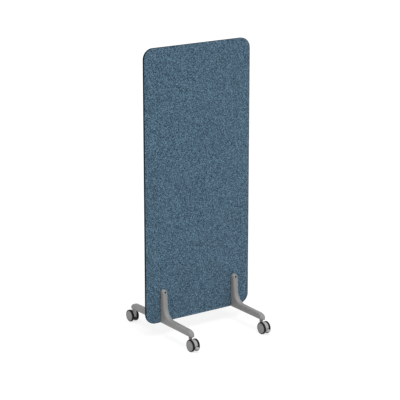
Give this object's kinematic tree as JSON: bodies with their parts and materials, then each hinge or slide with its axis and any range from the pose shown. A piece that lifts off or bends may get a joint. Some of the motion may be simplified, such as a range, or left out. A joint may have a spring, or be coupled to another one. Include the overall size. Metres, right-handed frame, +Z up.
{
  "type": "rolling partition",
  "caption": "Tall upholstered screen panel with rounded corners, clamped between cast legs that curve out to swivelling twin-wheel casters with foot brakes.",
  "frame": {"origin": "on the floor under the middle of the panel", "axes": "+Z up; +X to the right along the panel's width as seen from its front; -Y forward, out of the panel's front face"},
  "size_m": [0.75, 0.757, 1.738],
  "materials": {
    "core_board": "raw particle board",
    "edge_trim": "extruded, fine matt",
    "pad": "felted fibre pad",
    "fabric": "woven blue melange upholstery",
    "sleeve": "zinc plated",
    "screw": "black oxide",
    "leg": "grey powder coat on a casting",
    "socket": "moulded",
    "stem": "zinc plated",
    "collar": "dark, satin",
    "housing": "moulded light grey",
    "brake": "moulded light grey",
    "hub": "moulded grey",
    "tyre": "black, lightly worn"
  },
  "bodies": {
    "frame": {"core_board": "core_board", "edge_trim": "edge_trim", "front_pad": "pad", "back_pad": "pad", "front_fabric": "fabric", "back_fabric": "fabric", "panel_sleeves": "sleeve", "clamp_screws": "screw", "sleeve_nuts": "screw", "front_left_leg": "leg", "front_left_socket": "socket", "front_left_stem": "stem", "front_left_collar": "collar", "front_right_leg": "leg", "front_right_socket": "socket", "front_right_stem": "stem", "front_right_collar": "collar", "back_left_leg": "leg", "back_left_socket": "socket", "back_left_stem": "stem", "back_left_collar": "collar", "back_right_leg": "leg", "back_right_socket": "socket", "back_right_stem": "stem", "back_right_collar": "collar"},
    "front_left_wheel_l": {"front_left_hub_l": "hub", "front_left_tyre_l": "tyre"},
    "front_left_wheel_r": {"front_left_hub_r": "hub", "front_left_tyre_r": "tyre"},
    "front_left_caster": {"front_left_housing": "housing", "front_left_axle": "stem", "front_left_brake_pin": "stem"},
    "front_left_brake": {"front_left_brake": "brake"},
    "front_right_wheel_l": {"front_right_hub_l": "hub", "front_right_tyre_l": "tyre"},
    "front_right_wheel_r": {"front_right_hub_r": "hub", "front_right_tyre_r": "tyre"},
    "front_right_caster": {"front_right_housing": "housing", "front_right_axle": "stem", "front_right_brake_pin": "stem"},
    "front_right_brake": {"front_right_brake": "brake"},
    "back_left_wheel_l": {"back_left_hub_l": "hub", "back_left_tyre_l": "tyre"},
    "back_left_wheel_r": {"back_left_hub_r": "hub", "back_left_tyre_r": "tyre"},
    "back_left_caster": {"back_left_housing": "housing", "back_left_axle": "stem", "back_left_brake_pin": "stem"},
    "back_left_brake": {"back_left_brake": "brake"},
    "back_right_wheel_l": {"back_right_hub_l": "hub", "back_right_tyre_l": "tyre"},
    "back_right_wheel_r": {"back_right_hub_r": "hub", "back_right_tyre_r": "tyre"},
    "back_right_caster": {"back_right_housing": "housing", "back_right_axle": "stem", "back_right_brake_pin": "stem"},
    "back_right_brake": {"back_right_brake": "brake"}
  },
  "joints": [
    {"name": "front_left_swivel", "type": "hinge", "parent": "frame", "child": "front_left_caster", "pos_m": [-0.259, -0.295, 0.073], "axis": [0, 0, 1], "continuous": true},
    {"name": "front_left_roll_l", "type": "hinge", "parent": "front_left_caster", "child": "front_left_wheel_l", "pos_m": [-0.259, -0.322, 0.0365], "axis": [1, 0, 0], "continuous": true},
    {"name": "front_left_roll_r", "type": "hinge", "parent": "front_left_caster", "child": "front_left_wheel_r", "pos_m": [-0.259, -0.322, 0.0365], "axis": [1, 0, 0], "continuous": true},
    {"name": "front_left_pedal", "type": "hinge", "parent": "front_left_caster", "child": "front_left_brake", "pos_m": [-0.259, -0.343, 0.0345], "axis": [1, 0, 0], "range_deg": [0, 12]},
    {"name": "front_right_swivel", "type": "hinge", "parent": "frame", "child": "front_right_caster", "pos_m": [0.259, -0.295, 0.073], "axis": [0, 0, 1], "continuous": true},
    {"name": "front_right_roll_l", "type": "hinge", "parent": "front_right_caster", "child": "front_right_wheel_l", "pos_m": [0.259, -0.322, 0.0365], "axis": [1, 0, 0], "continuous": true},
    {"name": "front_right_roll_r", "type": "hinge", "parent": "front_right_caster", "child": "front_right_wheel_r", "pos_m": [0.259, -0.322, 0.0365], "axis": [1, 0, 0], "continuous": true},
    {"name": "front_right_pedal", "type": "hinge", "parent": "front_right_caster", "child": "front_right_brake", "pos_m": [0.259, -0.343, 0.0345], "axis": [1, 0, 0], "range_deg": [0, 12]},
    {"name": "back_left_swivel", "type": "hinge", "parent": "frame", "child": "back_left_caster", "pos_m": [-0.259, 0.295, 0.073], "axis": [0, 0, 1], "continuous": true},
    {"name": "back_left_roll_l", "type": "hinge", "parent": "back_left_caster", "child": "back_left_wheel_l", "pos_m": [-0.259, 0.322, 0.0365], "axis": [1, 0, 0], "continuous": true},
    {"name": "back_left_roll_r", "type": "hinge", "parent": "back_left_caster", "child": "back_left_wheel_r", "pos_m": [-0.259, 0.322, 0.0365], "axis": [1, 0, 0], "continuous": true},
    {"name": "back_left_pedal", "type": "hinge", "parent": "back_left_caster", "child": "back_left_brake", "pos_m": [-0.259, 0.343, 0.0345], "axis": [-1, 0, 0], "range_deg": [0, 12]},
    {"name": "back_right_swivel", "type": "hinge", "parent": "frame", "child": "back_right_caster", "pos_m": [0.259, 0.295, 0.073], "axis": [0, 0, 1], "continuous": true},
    {"name": "back_right_roll_l", "type": "hinge", "parent": "back_right_caster", "child": "back_right_wheel_l", "pos_m": [0.259, 0.322, 0.0365], "axis": [1, 0, 0], "continuous": true},
    {"name": "back_right_roll_r", "type": "hinge", "parent": "back_right_caster", "child": "back_right_wheel_r", "pos_m": [0.259, 0.322, 0.0365], "axis": [1, 0, 0], "continuous": true},
    {"name": "back_right_pedal", "type": "hinge", "parent": "back_right_caster", "child": "back_right_brake", "pos_m": [0.259, 0.343, 0.0345], "axis": [-1, 0, 0], "range_deg": [0, 12]}
  ]
}
